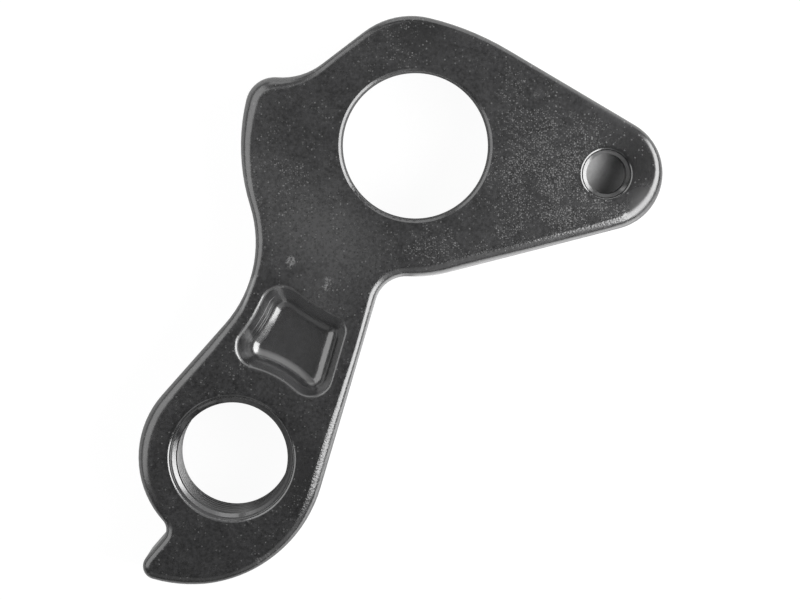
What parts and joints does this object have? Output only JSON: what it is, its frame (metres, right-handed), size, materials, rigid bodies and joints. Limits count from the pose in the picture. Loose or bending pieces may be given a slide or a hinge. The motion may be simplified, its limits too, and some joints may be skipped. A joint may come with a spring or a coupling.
{
  "type": "bicycle derailleur hanger",
  "caption": "Flat black plate with an axle hole, an arm with a small blind recess, and a leg with a pocket, a threaded eye and a stop nub; it joins a rear derailleur to a bicycle frame.",
  "frame": {"origin": "on the axle hole's axis at the plate's flat back face", "axes": "+X to the front of the bicycle, +Y up the frame, +Z outboard along the axle hole, to the derailleur's side"},
  "size_m": [0.0432, 0.0469, 0.007],
  "materials": {
    "black_coat": "satin black coat on aluminium"
  },
  "bodies": {
    "root": {"derailleur_hanger": "black_coat"}
  },
  "joints": []
}
